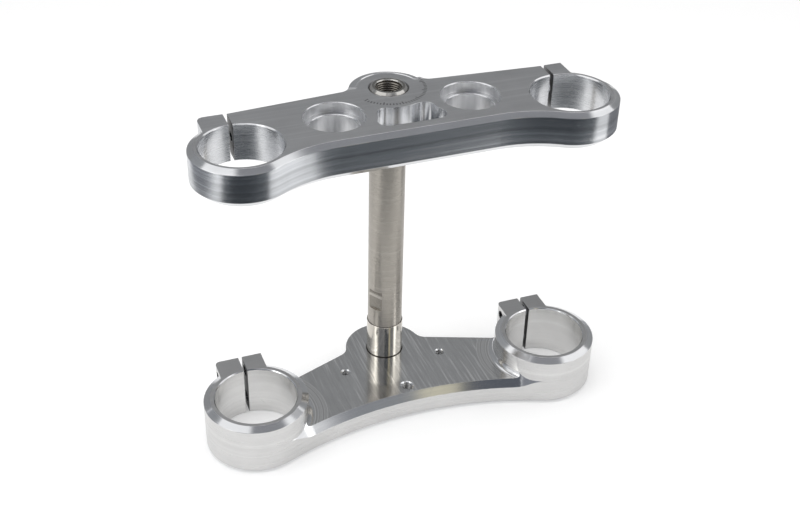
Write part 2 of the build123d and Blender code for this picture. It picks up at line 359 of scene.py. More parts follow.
@dataclass(frozen=True)
class IndexRing(Effect):
    """The plain ring of engraved index strokes on the upper boss, and the bevelled rim behind the stem, whose bright
    tone is a painted highlight.

    Attributes:
        shorter: How much shorter the plain strokes are than the long ones.
        half_width: Half the width of a stroke, as a share of the step from stroke to stroke.
        side_slope: The slope of the line across the boss behind which no stroke is cut.
        rim_ends: Where the rim starts and where it is whole, behind the stem's axis.
    """

    inner: float = 0.0208
    outer: float = 0.0240
    shorter: float = 0.0012
    count: float = 72.0
    long_every: float = 6.0
    half_width: float = 0.22
    side_slope: float = 0.55
    rim_inner: float = 0.0194
    rim_ends: Span = (0.004, 0.010)

    def build(self) -> Tree:
        """Builds the group.

        Returns:
            A group that puts out a mask of the strokes, and a mask and a height of the rim.
        """
        kit = GroupKit("index_ring")
        x, y = kit.take_axes()
        radius = kit.reach(x, y)
        turn = kit.math("DIVIDE", kit.math("ARCTAN2", y, x), 2 * math.pi)
        steps = kit.math("MULTIPLY", turn, self.count)
        offset = kit.math("ABSOLUTE", kit.math("SUBTRACT", kit.math("FRACT", steps), 0.5))
        stroke = kit.math("LESS_THAN", offset, self.half_width)
        cycle = kit.math("FRACT", kit.math("DIVIDE", kit.math("FLOOR", steps), self.long_every))
        is_long = kit.math("LESS_THAN", cycle, 0.5 / self.long_every)
        start = kit.math("SUBTRACT", self.inner + self.shorter, kit.math("MULTIPLY", is_long, self.shorter))
        ring = kit.between(radius, start, self.outer)
        front = kit.math("LESS_THAN", y, kit.math("MULTIPLY", x, self.side_slope))
        behind = kit.span(y, *self.rim_ends)
        rim = kit.between(radius, self.rim_inner, self.inner)
        slope = kit.span(radius, self.rim_inner, self.inner)
        kit.give("Mask", "Float", kit.math("MULTIPLY", kit.math("MULTIPLY", ring, stroke), front))
        kit.give("Rim", "Float", kit.math("MULTIPLY", rim, behind))
        kit.give("Slope", "Float", kit.math("MULTIPLY", slope, behind))
        return kit.tree


@dataclass(frozen=True)
class Countersinks(Effect):
    """The small countersinks of the lower plate's three tapped holes."""

    side_reach: float = 0.0036
    front_reach: float = 0.0048

    def build(self) -> Tree:
        """Builds the group.

        Returns:
            A group that puts out a mask of the countersinks and their height.
        """
        kit = GroupKit("countersinks")
        x, y = kit.take_axes()
        rims: list[Socket] = []
        slopes: list[Socket] = []
        for across, hole, reach in ((kit.math("ABSOLUTE", x), LowerClamp.SIDE_HOLE, self.side_reach),
                                    (x, LowerClamp.FRONT_HOLE, self.front_reach)):
            radius = kit.reach(kit.math("SUBTRACT", across, hole.x), kit.math("SUBTRACT", y, hole.y))
            rims.append(kit.math("LESS_THAN", radius, reach))
            slopes.append(kit.span(radius, hole.radius, reach))
        kit.give("Rim", "Float", kit.math("MAXIMUM", *rims))
        kit.give("Slope", "Float", kit.math("MULTIPLY", *slopes))
        return kit.tree


@dataclass(frozen=True)
class PaintedLightLine:
    """A thin level line of painted light: a dark line of painted shade, such as a painted contact shadow, or a light
    line of painted highlight.
    """

    height: float
    half_width: float
    tone: Colour

    def draw(self, tree: Tree, place: Socket, colour: Socket) -> Socket:
        """Draws the line over a colour.

        Args:
            tree: The material's node tree.
            place: The socket with the place on the piece.
            colour: The socket with the colour.

        Returns:
            The socket with the new colour.
        """
        axes = add_node(tree, "ShaderNodeSeparateXYZ", {0: place})
        line = add_math(tree, "COMPARE", axes.outputs[2], self.height, self.half_width)
        return mix_colours(tree, line, colour, self.tone)


@dataclass(frozen=True)
class MetalFinish:
    """A machined metal surface with cutter lines, clouding and hairline scratches.

    Attributes:
        stretch: How fine the cutter lines are along each axis.
        line_depth: How strongly the lines show as bump.
        streak_share: How much the wide streaks add to the height of the lines.
        streak_scale: How fine the wide streaks are, next to the lines.
        band_depth: How much darker the metal gets in the wide bands.
        cloud_depth: How much darker it gets in the clouding.
        turned: How far a lathe's lines spread the reflections along the stem, from 0 to 1.
        edge: The radius to which edges look worn.
    """

    name: str
    colour: Colour
    streak_colour: Colour
    roughness: float
    stretch: Point
    line_depth: float = 0.12
    streak_share: float = 0.3
    streak_scale: float = 0.13
    band_depth: float = 0.06
    cloud_depth: float = 0.08
    marks: Marks = Marks.NONE
    # Thin level lines of painted shade and painted highlight, drawn at given heights.
    painted_light_lines: tuple[PaintedLightLine, ...] = ()
    turned: float = 0.0
    edge: float = 0.0005

    LINE_HEIGHT: ClassVar[float] = 0.0001
    NOISE_SPAN: ClassVar[Span] = (0.3, 0.7)
    ROUGHNESS_SPAN: ClassVar[Span] = (0.8, 1.25)
    SCRATCH_ROUGHNESS: ClassVar[float] = 0.12
    ARC_TONES: ClassVar[Span] = (0.60, 0.92)
    STROKE_TONE: ClassVar[Colour] = (0.22, 0.22, 0.23)
    STROKE_HEIGHT: ClassVar[float] = -2.0
    # Bright tone of the rims: a painted highlight on the index ring's rim behind the stem, a bright cut chamfer on
    # the plate's countersinks.
    RIM_POLISH_AND_HIGHLIGHT_TONE: ClassVar[Colour] = (0.93, 0.935, 0.95)
    RIM_ROUGHNESS: ClassVar[float] = 0.14
    RIM_HEIGHT: ClassVar[float] = 0.0011

    def material(self) -> bpy.types.Material:
        """The finish's material, which is made when it is first asked for."""
        return bpy.data.materials.get(self.name) or self.build()

    def build(self) -> bpy.types.Material:
        """Makes the material.

        Returns:
            The finished material.
        """
        material = bpy.data.materials.new(self.name)
        material.use_nodes = True
        tree = material.node_tree
        shader = tree.nodes["Principled BSDF"]
        shader.inputs["Metallic"].default_value = 1.0
        if self.turned:
            shader.inputs["Anisotropic"].default_value = self.turned
            shader.inputs["Anisotropic Rotation"].default_value = 0.25
            round_axis = add_node(tree, "ShaderNodeTangent", direction_type="RADIAL", axis="Z")
            tree.links.new(round_axis.outputs[0], shader.inputs["Tangent"])
        place = tree.nodes.new("ShaderNodeTexCoord").outputs["Object"]
        lines = CutterLines().place(tree, {
            "Place": place, "Stretch": self.stretch,
            "Streak Scale": self.streak_scale, "Streak Share": self.streak_share,
        })
        handling = Handling().place(tree, {"Place": place})
        colour = self._colour(tree, lines, handling)
        rough = self._roughness(tree, lines, handling)
        height = lines.outputs["Height"]
        # Draws the painted shade and painted highlight lines over the colour.
        for line in self.painted_light_lines:
            colour = line.draw(tree, place, colour)
        if self.marks is Marks.ARCS:
            colour, height = self._arcs(tree, place, colour, height)
            rim = Countersinks().place(tree, {"Place": place})
        elif self.marks is Marks.INDEX_RING:
            rim = IndexRing().place(tree, {"Place": place})
            colour, height = self._engrave(tree, rim, colour, height)
        worn = add_node(tree, "ShaderNodeBevel", {"Radius": self.edge}, samples=4)
        normal = add_node(tree, "ShaderNodeBump", {
            "Height": height, "Strength": self.line_depth, "Distance": self.LINE_HEIGHT,
            "Normal": worn.outputs[0],
        }).outputs[0]
        if self.marks is not Marks.NONE:
            colour, rough, normal = self._rim(tree, rim, colour, rough, normal)
        tree.links.new(colour, shader.inputs["Base Color"])
        tree.links.new(rough, shader.inputs["Roughness"])
        tree.links.new(normal, shader.inputs["Normal"])
        return material

    def _colour(self, tree: Tree, lines: Node, handling: Node) -> Socket:
        """Mixes the metal's colour with its streaks and clouding.

        Args:
            tree: The material's node tree.
            lines: The cutter lines group.
            handling: The handling group.

        Returns:
            The socket with the colour.
        """
        streaked = mix_colours(tree, lines.outputs["Streaks"], self.colour, self.streak_colour)
        clouded = add_range(tree, handling.outputs["Clouds"], self.NOISE_SPAN, (1.0 - self.cloud_depth, 1.0))
        banded = add_range(tree, lines.outputs["Bands"], (0.0, 1.0), (1.0 - self.band_depth, 1.0))
        level = add_math(tree, "MULTIPLY", clouded, banded)
        return add_node(tree, "ShaderNodeVectorMath", {0: streaked, "Scale": level}, operation="SCALE").outputs[0]

    def _roughness(self, tree: Tree, lines: Node, handling: Node) -> Socket:
        """Varies the roughness along the cutter lines and in the scratches.

        Args:
            tree: The material's node tree.
            lines: The cutter lines group.
            handling: The handling group.

        Returns:
            The socket with the roughness.
        """
        low, high = self.ROUGHNESS_SPAN
        along = add_range(tree, lines.outputs["Fine"], self.NOISE_SPAN, (self.roughness * low, self.roughness * high))
        return add_math(tree, "MULTIPLY_ADD", handling.outputs["Scratches"], self.SCRATCH_ROUGHNESS, along)

    def _arcs(self, tree: Tree, place: Socket, colour: Socket, height: Socket) -> tuple[Socket, Socket]:
        """Turns the cutter lines into arcs near the fork rings.

        Args:
            tree: The material's node tree.
            place: The socket with the place on the piece.
            colour: The socket with the colour.
            height: The socket with the height.

        Returns:
            The sockets with the new colour and height.
        """
        arcs = CutterArcs().place(tree, {"Place": place})
        tone = add_range(tree, arcs.outputs["Arcs"], self.NOISE_SPAN, self.ARC_TONES)
        return (mix_colours(tree, arcs.outputs["Mask"], colour, tone),
                mix_values(tree, arcs.outputs["Mask"], height, arcs.outputs["Arcs"]))

    def _engrave(self, tree: Tree, ring: Node, colour: Socket, height: Socket) -> tuple[Socket, Socket]:
        """Cuts the plain index strokes into the surface.

        Args:
            tree: The material's node tree.
            ring: The index ring group.
            colour: The socket with the colour.
            height: The socket with the height.

        Returns:
            The sockets with the new colour and height.
        """
        strokes = ring.outputs["Mask"]
        return (mix_colours(tree, strokes, colour, self.STROKE_TONE),
                add_math(tree, "MULTIPLY_ADD", strokes, self.STROKE_HEIGHT, height))

    def _rim(self, tree: Tree, effect: Node, colour: Socket, rough: Socket,
             normal: Socket) -> tuple[Socket, Socket, Socket]:
        """Tilts and polishes a narrow rim and gives it a bright tone: a painted highlight on the index ring's rim, a
        bright cut chamfer on the countersinks.

        Args:
            tree: The material's node tree.
            effect: The group that puts out the rim and its slope.
            colour: The socket with the colour.
            rough: The socket with the roughness.
            normal: The socket with the normal.

        Returns:
            The sockets with the new colour, roughness and normal.
        """
        rim = effect.outputs["Rim"]
        tilt = add_node(tree, "ShaderNodeBump", {
            "Height": effect.outputs["Slope"], "Strength": 1.0, "Distance": self.RIM_HEIGHT, "Normal": normal,
        })
        return (mix_colours(tree, rim, colour, self.RIM_POLISH_AND_HIGHLIGHT_TONE),
                mix_values(tree, rim, rough, self.RIM_ROUGHNESS), tilt.outputs[0])


ALONG_X: Point = (40.0, 2600.0, 2600.0)
ALONG_Y: Point = (2100.0, 95.0, 95.0)
LEVEL: Point = (25.0, 25.0, 2600.0)
UPRIGHT: Point = (1500.0, 1500.0, 25.0)
# Dark tone of the painted shade lines on the journal.
PAINTED_SHADE_TONE: Colour = (0.10, 0.09, 0.08)


class AluminiumFinishes:
    """The finishes of the two machined aluminium clamps."""

    FACE = MetalFinish("milled_face", (0.56, 0.56, 0.565), (0.61, 0.61, 0.615), 0.36, ALONG_X, 0.08)
    BOSS_FACE = MetalFinish("engraved_face", (0.61, 0.615, 0.63), (0.66, 0.665, 0.68), 0.36, ALONG_X, 0.08,
                            marks=Marks.INDEX_RING)
    BRIGHT = MetalFinish("bright_bevel", (0.84, 0.85, 0.87), (0.94, 0.94, 0.95), 0.12, LEVEL, 0.04)
    WALL = MetalFinish("milled_wall", (0.82, 0.84, 0.87), (0.95, 0.96, 0.98), 0.18, LEVEL, 0.12, 0.4,
                       streak_scale=0.11, band_depth=0.30)
    # The dark line at the very bottom of the lower walls is a painted contact shadow.
    LOWER_WALL = MetalFinish("fine_milled_wall", (0.78, 0.775, 0.77), (0.82, 0.82, 0.81), 0.24, LEVEL, 0.03,
                             painted_light_lines=(PaintedLightLine(0.0004, 0.0005, (0.25, 0.25, 0.25)),))
    BORED = MetalFinish("bored_wall", (0.84, 0.85, 0.87), (0.89, 0.90, 0.92), 0.25, LEVEL, 0.008, 0.1)
    # Paler than the upper bores: the extra brightness is painted light, standing in for light off the lit floor
    # inside the ring.
    LOWER_BORED = MetalFinish("painted_light_bored_wall", (0.94, 0.935, 0.925), (0.96, 0.96, 0.95), 0.22, LEVEL, 0.02,
                              0.1)
    POCKET = MetalFinish("pocket_wall", (0.90, 0.91, 0.93), (0.97, 0.97, 0.98), 0.20, UPRIGHT, 0.12, 0.8,
                         streak_scale=0.16, band_depth=0.2)
    SEAT = MetalFinish("seat_wall", (0.93, 0.935, 0.95), (0.98, 0.98, 0.99), 0.40, UPRIGHT, 0.02, 0.9,
                       streak_scale=0.16, band_depth=0.16)
    PLATE = MetalFinish("streaked_plate", (0.77, 0.775, 0.78), (0.98, 0.98, 0.98), 0.13, ALONG_Y, 0.08, 1.1,
                        streak_scale=0.28, band_depth=0.12, marks=Marks.ARCS)
    UNDER = MetalFinish("plain_underside", (0.70, 0.70, 0.71), (0.76, 0.76, 0.77), 0.34, ALONG_X, 0.10)
    # A rough finish whose dark colour is painted shade: on the chamfer round the stem bore it stands in for a dark
    # reflection, in the split slots for the shade inside them.
    PAINTED_SHADE_FINISH = MetalFinish("painted_shade_face", (0.30, 0.30, 0.305), (0.38, 0.38, 0.38), 0.45, LEVEL, 0.25)
    TAPPED = MetalFinish("tapped_hole", (0.50, 0.50, 0.505), (0.56, 0.56, 0.565), 0.20, LEVEL, 0.04)


class SteelFinishes:
    """The finishes of the turned steel stem."""

    SHAFT = MetalFinish("turned_steel", (0.485, 0.455, 0.41), (0.53, 0.50, 0.455), 0.30, LEVEL, 0.008, 0.1,
                        band_depth=0.04, cloud_depth=0.05, turned=0.85)
    # The two dark lines on the ground journal are painted shade, drawn as thin rings at given heights.
    JOURNAL = MetalFinish("ground_steel", (0.76, 0.72, 0.65), (0.80, 0.76, 0.69), 0.12, LEVEL, 0.01, 0.1,
                          band_depth=0.03,
                          painted_light_lines=(PaintedLightLine(0.0198, 0.0004, PAINTED_SHADE_TONE), PaintedLightLine(0.0458, 0.0001, PAINTED_SHADE_TONE)))
    # In the notch, the dark line near its top is painted shade under the upper ledge, and the light line below it is
    # a painted highlight on the notch floor.
    NOTCH = MetalFinish("notched_steel", (0.40, 0.375, 0.335), (0.46, 0.432, 0.39), 0.20, LEVEL, 0.015, 0.1,
                        painted_light_lines=(PaintedLightLine(0.0732, 0.0009, (0.30, 0.28, 0.25)),
                                     PaintedLightLine(0.0704, 0.0011, (0.62, 0.59, 0.54))))
    BEVEL = MetalFinish("bevelled_steel", (0.62, 0.605, 0.58), (0.70, 0.685, 0.66), 0.08, LEVEL, 0.02)
    END = MetalFinish("faced_steel", (0.36, 0.35, 0.33), (0.42, 0.405, 0.385), 0.13, LEVEL, 0.02)
    THREAD = MetalFinish("cut_thread", (0.34, 0.32, 0.29), (0.42, 0.40, 0.37), 0.16, LEVEL, 0.04)


@dataclass(frozen=True)
class TappedHole:
    """The sizes of an upright tapped hole."""

    x: float
    y: float
    top: float
    bottom: float
    radius: float
    pitch: float
    depth: float


@dataclass
class TappedThread:
    """The helical thread in one tapped hole."""

    name: str
    hole: TappedHole
    slot: str
    finish: MetalFinish
    steps: int = 40

    SUNK: ClassVar[float] = 0.00004
    ROOT_START: ClassVar[float] = 0.0
    CREST: ClassVar[Span] = (0.38, 0.52)
    ROOT_END: ClassVar[float] = 0.9

    def profile(self) -> list[tuple[float, float]]:
        """The section of one thread, as radius and share of the pitch."""
        root, crest = self.hole.radius + self.SUNK, self.hole.radius - self.hole.depth
        return [(root, self.ROOT_START), *((crest, share) for share in self.CREST), (root, self.ROOT_END)]

    def build(self) -> bpy.types.Object:
        """Makes the thread as a closed helical rib.

        Returns:
            The thread, riding on the part.
        """
        hole = self.hole
        turns = (hole.top - hole.bottom) / hole.pitch - 1
        count = int(turns * self.steps)
        section = self.profile()
        points: list[Point] = []
        for step in range(count + 1):
            angle = 2 * math.pi * step / self.steps
            for radius, share in section:
                z = hole.bottom + hole.pitch * (step / self.steps + share)
                points.append((hole.x + radius * math.cos(angle), hole.y + radius * math.sin(angle), z))
        width = len(section)
        faces = [tuple(range(width)), tuple(reversed(range(count * width, (count + 1) * width)))]
        for step in range(count):
            near, far = step * width, (step + 1) * width
            for k in range(width):
                after = (k + 1) % width
                faces.append((near + k, far + k, far + after, near + after))
        mesh = bpy.data.meshes.new(self.name)
        mesh.from_pydata(points, [], faces)
        mesh.materials.append(self.finish.material())
        piece = bpy.data.objects.new(self.name, mesh)
        bpy.context.scene.collection.objects.link(piece)
        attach(piece, "root")
        log.info("cut %s with %d turns", self.name, round(turns))
        return piece


@dataclass
class DressedNode:
    """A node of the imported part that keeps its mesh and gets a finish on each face."""

    node: str

    LEVEL_FACE: ClassVar[float] = 0.99

    def finish_at(self, spot: Vector, normal: Vector) -> MetalFinish:
        """Tells which finish a face has, from its middle and its direction."""
        raise NotImplementedError

    def dress(self) -> None:
        """Gives each face of the node its finish."""
        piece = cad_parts[self.node]
        piece.data.materials.clear()
        slots: dict[str, int] = {}
        for face in piece.data.polygons:
            finish = self.finish_at(face.center, face.normal)
            if finish.name not in slots:
                slots[finish.name] = len(slots)
                piece.data.materials.append(finish.material())
            face.material_index = slots[finish.name]
        log.info("dressed %s in %d finishes", self.node, len(slots))


@dataclass
class ForkClamp(DressedNode):
    """A clamp with two fork rings, and the measures that tell its machined surfaces apart."""

    bore_radius: float
    finishes: dict[Surface, MetalFinish]
    fork_x: float = 0.105
    fork_y: float = -0.0415
    bore_slack: float = 0.0004
    split_reach: float = 0.0015

    UPRIGHT_FACE: ClassVar[float] = 0.2
    SPLIT_FACE: ClassVar[float] = 0.9

    def finish_at(self, spot: Vector, normal: Vector) -> MetalFinish:
        """The finish of the machined surface that a face belongs to."""
        return self.finishes[self.surface_at(spot, normal)]

    def surface_at(self, spot: Vector, normal: Vector) -> Surface:
        """Tells which machined surface a face belongs to.

        Args:
            spot: The middle of the face.
            normal: The direction that it faces.

        Returns:
            The surface.
        """
        if normal.z > self.LEVEL_FACE:
            return Surface.TOP
        if normal.z < -self.LEVEL_FACE:
            return Surface.UNDERSIDE
        if abs(normal.z) >= self.UPRIGHT_FACE:
            return Surface.BEVEL
        offset = Vector((spot.x - math.copysign(self.fork_x, spot.x), spot.y - self.fork_y, 0.0))
        if abs(offset.x) < self.split_reach and offset.y > 0 and abs(normal.x) > self.SPLIT_FACE:
            return Surface.SPLIT
        if offset.length < self.bore_radius + self.bore_slack and normal.dot(offset) < 0:
            return Surface.BORE
        return Surface.WALL


@dataclass
class UpperClamp(ForkClamp):
    """The upper clamp, with its boss, handlebar seats and window."""

    node: str = "upper_clamp"
    bore_radius: float = 0.025
    finishes: dict[Surface, MetalFinish] = field(default_factory=lambda: {
        Surface.TOP: AluminiumFinishes.BOSS_FACE,
        Surface.BEVEL: AluminiumFinishes.BRIGHT,
        Surface.WALL: AluminiumFinishes.WALL,
        Surface.BORE: AluminiumFinishes.BORED,
        # The chamfer round the stem bore gets the dark painted shade finish.
        Surface.STEM_EDGE: AluminiumFinishes.PAINTED_SHADE_FINISH,
        Surface.SEAT: AluminiumFinishes.SEAT,
        Surface.POCKET: AluminiumFinishes.POCKET,
        Surface.UNDERSIDE: AluminiumFinishes.UNDER,
        Surface.SPLIT: AluminiumFinishes.PAINTED_SHADE_FINISH,
    })
    stem_edge: float = 0.0135
    seat_x: float = 0.0442
    seat_y: float = -0.0262
    seat_reach: float = 0.0195
    window_x: float = 0.0342
    window_y: Span = (-0.0485, -0.015)

    def surface_at(self, spot: Vector, normal: Vector) -> Surface:
        """Adds the stem bore's edge, the seats and the window to the surfaces that both clamps have.

        Args:
            spot: The middle of the face.
            normal: The direction that it faces.

        Returns:
            The surface.
        """
        surface = super().surface_at(spot, normal)
        if surface is Surface.BEVEL and spot.xy.length < self.stem_edge:
            return Surface.STEM_EDGE
        if surface is Surface.WALL:
            seat = Vector((abs(spot.x) - self.seat_x, spot.y - self.seat_y))
            if seat.length < self.seat_reach:
                return Surface.SEAT
            if abs(spot.x) < self.window_x and self.window_y[0] < spot.y < self.window_y[1]:
                return Surface.POCKET
        return surface


@dataclass
class LowerClamp(ForkClamp):
    """The lower clamp, with its streaked plate and the tapped holes in it."""

    node: str = "lower_clamp"
    bore_radius: float = 0.027
    finishes: dict[Surface, MetalFinish] = field(default_factory=lambda: {
        Surface.TOP: AluminiumFinishes.FACE,
        Surface.PLATE: AluminiumFinishes.PLATE,
        Surface.BEVEL: AluminiumFinishes.BRIGHT,
        Surface.WALL: AluminiumFinishes.LOWER_WALL,
        Surface.BORE: AluminiumFinishes.LOWER_BORED,
        Surface.UNDERSIDE: AluminiumFinishes.UNDER,
        Surface.SPLIT: AluminiumFinishes.PAINTED_SHADE_FINISH,
    })
    plate_limit: float = 0.0205

    SIDE_HOLE: ClassVar[TappedHole] = TappedHole(0.0352, -0.0184, 0.0188, 0.0006, 0.0025, 0.0010, 0.0004)
    FRONT_HOLE: ClassVar[TappedHole] = TappedHole(0.0, -0.0454, 0.0188, 0.0006, 0.0034, 0.00125, 0.0005)

    def surface_at(self, spot: Vector, normal: Vector) -> Surface:
        """Adds the plate, which lies lower than the rings, to the surfaces that both clamps have."""
        surface = super().surface_at(spot, normal)
        return Surface.PLATE if surface is Surface.TOP and spot.z < self.plate_limit else surface

    def threads(self) -> list[TappedThread]:
        """Lists the threads of the plate's three holes.

        Returns:
            The threads, from the left hole to the front one.
        """
        left_hole = replace(self.SIDE_HOLE, x=-self.SIDE_HOLE.x)
        holes = {"left": left_hole, "right": self.SIDE_HOLE, "front": self.FRONT_HOLE}
        return [TappedThread(f"{side}_hole_thread", hole, self.node, AluminiumFinishes.TAPPED)
                for side, hole in holes.items()]


@dataclass
class SteeringStem(DressedNode):
    """The steering stem, with its ground journal, its lock notch and its threaded end."""

    node: str = "steering_stem"
    journal_limit: float = 0.0461
    notch_bottom: float = 0.0592
    notch_top: float = 0.0752
    notch_reach: float = 0.0117
    thread_reach: float = 0.0083
    end_limit: float = 0.2220

    END_HOLE: ClassVar[TappedHole] = TappedHole(0.0, 0.0, 0.2252, 0.1960, 0.00825, 0.0015, 0.00065)

    def finish_at(self, spot: Vector, normal: Vector) -> MetalFinish:
        """Tells which finish a face has.

        Args:
            spot: The middle of the face.
            normal: The direction that it faces.

        Returns:
            The finish.
        """
        if spot.z < self.journal_limit:
            return SteelFinishes.JOURNAL
        if self.notch_bottom < spot.z < self.notch_top and spot.xy.length < self.notch_reach:
            return SteelFinishes.NOTCH
        if spot.xy.length < self.thread_reach:
            return SteelFinishes.THREAD
        if spot.z > self.end_limit:
            return SteelFinishes.END if normal.z > self.LEVEL_FACE else SteelFinishes.BEVEL
        return SteelFinishes.SHAFT

    def threads(self) -> list[TappedThread]:
        """The thread in the stem's top end."""
        return [TappedThread("stem_thread", self.END_HOLE, self.node, SteelFinishes.THREAD, steps=56)]


@dataclass(frozen=True)
class PhotoCamera:
    """The camera at the photograph's viewing angle."""

    place: Point = (-0.2492826, -0.6588149, 0.5778922)
    yaw: float = 21.5279
    pitch: float = 34.6657
    roll: float = 1.4368
    lens: float = 56.4053
    sensor_width: float = 36.0
    nearest: float = 0.01

    def build(self) -> bpy.types.Object:
        """Makes the camera and gives it to the scene.

        Returns:
            The camera.
        """
        data = bpy.data.cameras.new("photo_camera")
        data.lens = self.lens
        data.sensor_width = self.sensor_width
        data.clip_start = self.nearest
        camera = bpy.data.objects.new("photo_camera", data)
        turn = Euler((0.0, 0.0, -math.radians(self.yaw))).to_matrix()
        tilt = Euler((math.radians(90.0 - self.pitch), 0.0, 0.0)).to_matrix()
        lean = Euler((0.0, 0.0, math.radians(self.roll))).to_matrix()
        camera.matrix_world = Matrix.Translation(self.place) @ (turn @ tilt @ lean).to_4x4()
        bpy.context.scene.collection.objects.link(camera)
        bpy.context.scene.camera = camera
        log.info("set up the camera with a %.1f mm lens", self.lens)
        return camera


class CameraFrame:
    """Directions and places as seen from the camera, level with the floor."""

    YAW: ClassVar[float] = math.radians(PhotoCamera.yaw)

    @classmethod
    def place(cls, right: float, ahead: float, up: float) -> Vector:
        """Turns a place in the camera's directions into one in the part's frame.

        Args:
            right: How far to the right of the part, in metres.
            ahead: How far beyond the part.
            up: How far above the floor.

        Returns:
            The place.
        """
        return Euler((0.0, 0.0, -cls.YAW)).to_matrix() @ Vector((right, ahead, up))

    @classmethod
    def heading(cls, azimuth: float, elevation: float) -> Vector:
        """A direction, with 0 degrees beyond the part and 90 to its right."""
        side, rise = math.radians(azimuth), math.radians(elevation)
        return cls.place(math.sin(side) * math.cos(rise), math.cos(side) * math.cos(rise), math.sin(rise))


@dataclass(frozen=True)
class Card:
    """A soft-edged card that only the polished metal sees, with its size as angles of view.

    Attributes:
        azimuth: Its direction in degrees, with 0 beyond the part and 90 to its right.
        elevation: How high it stands, in degrees.
        fade: The share of the card that its soft edge takes.
    """

    name: str
    tone: Colour
    width: float
    height: float
    azimuth: float = 0.0
    elevation: float = 0.0
    distance: float = 1.6
    fade: float = 0.25

    MIDDLE: ClassVar[Vector] = Vector((0.0, -0.02, 0.12))

    def spot(self) -> tuple[Vector, Vector]:
        """The card's middle and the direction that it faces."""
        heading = CameraFrame.heading(self.azimuth, self.elevation)
        return self.MIDDLE + heading * self.distance, -heading

    def half_size(self) -> tuple[float, float]:
        """Half the card's width and height in metres."""
        return (self.distance * math.tan(math.radians(self.width / 2)),
                self.distance * math.tan(math.radians(self.height / 2)))

    def build(self) -> bpy.types.Object:
        """Makes the card.

        Returns:
            The card, as a piece of the stage.
        """
        middle, facing = self.spot()
        across = Vector((0.0, 0.0, 1.0)).cross(facing)
        if across.length < 0.01:
            across = CameraFrame.place(1.0, 0.0, 0.0)
        across.normalize()
        rise = facing.cross(across)
        half_x, half_y = self.half_size()
        mesh = bpy.data.meshes.new(self.name)
        mesh.from_pydata([(-1, -1, 0), (1, -1, 0), (1, 1, 0), (-1, 1, 0)], [], [(0, 1, 2, 3)])
        mesh.materials.append(self._tone())
        card = bpy.data.objects.new(self.name, mesh)
        turn = Matrix((across * half_x, rise * half_y, facing)).transposed()
        card.matrix_world = Matrix.Translation(middle) @ turn.to_4x4()
        card.visible_camera = False
        card.visible_diffuse = False
        card.visible_shadow = False
        card.visible_volume_scatter = False
        bpy.context.scene.collection.objects.link(card)
        return card

    def _tone(self) -> bpy.types.Material:
        """Makes the card's plain tone with its faded edge.

        Returns:
            The card's material.
        """
        material = bpy.data.materials.new(self.name)
        material.use_nodes = True
        tree = material.node_tree
        tree.nodes.remove(tree.nodes["Principled BSDF"])
        axes = add_node(tree, "ShaderNodeSeparateXYZ", {0: tree.nodes.new("ShaderNodeTexCoord").outputs["Object"]})
        across, along = (add_math(tree, "ABSOLUTE", axes.outputs[axis]) for axis in (0, 1))
        solid = add_range(tree, add_math(tree, "MAXIMUM", across, along), (1.0, 1.0 - self.fade), smooth=True)
        glow = add_node(tree, "ShaderNodeEmission", {"Color": (*self.tone, 1.0), "Strength": 1.0})
        clear = tree.nodes.new("ShaderNodeBsdfTransparent")
        mix = add_node(tree, "ShaderNodeMixShader", {0: solid, 1: clear.outputs[0], 2: glow.outputs[0]})
        tree.links.new(mix.outputs[0], tree.nodes["Material Output"].inputs["Surface"])
        return material


@dataclass(frozen=True)
class TableCard(Card):
    """A soft-edged card that lies just above the floor, facing up, with its size in metres."""

    right: float = 0.0
    ahead: float = 0.0
    lift: float = 0.002

    FACING: ClassVar[Point] = (0.0, 0.0, 1.0)

    def spot(self) -> tuple[Vector, Vector]:
        """The card's middle and the direction that it faces."""
        return CameraFrame.place(self.right, self.ahead, self.lift), Vector(self.FACING)

    def half_size(self) -> tuple[float, float]:
        """Half the card's width and height in metres."""
        return self.width / 2, self.height / 2


@dataclass(frozen=True)
class CeilingCard(TableCard):
    """A soft-edged card that hangs level above the part, facing down."""

    lift: float = 1.6

    FACING: ClassVar[Point] = (0.0, 0.0, -1.0)


@dataclass(frozen=True)
class SoftBox:
    """A rectangular studio light."""

    name: str
    place: Point
    aim: Point
    size: tuple[float, float]
    power: float

    def build(self) -> bpy.types.Object:
        """Makes the light.

        Returns:
            The light.
        """
        data = bpy.data.lights.new(self.name, "AREA")
        data.shape = "RECTANGLE"
        data.size, data.size_y = self.size
        data.energy = self.power
        light = bpy.data.objects.new(self.name, data)
        light.location = self.place
        light.rotation_mode = "QUATERNION"
        light.rotation_quaternion = (Vector(self.aim) - Vector(self.place)).to_track_quat("-Z", "Y")
        light.visible_glossy = False
        bpy.context.scene.collection.objects.link(light)
        return light


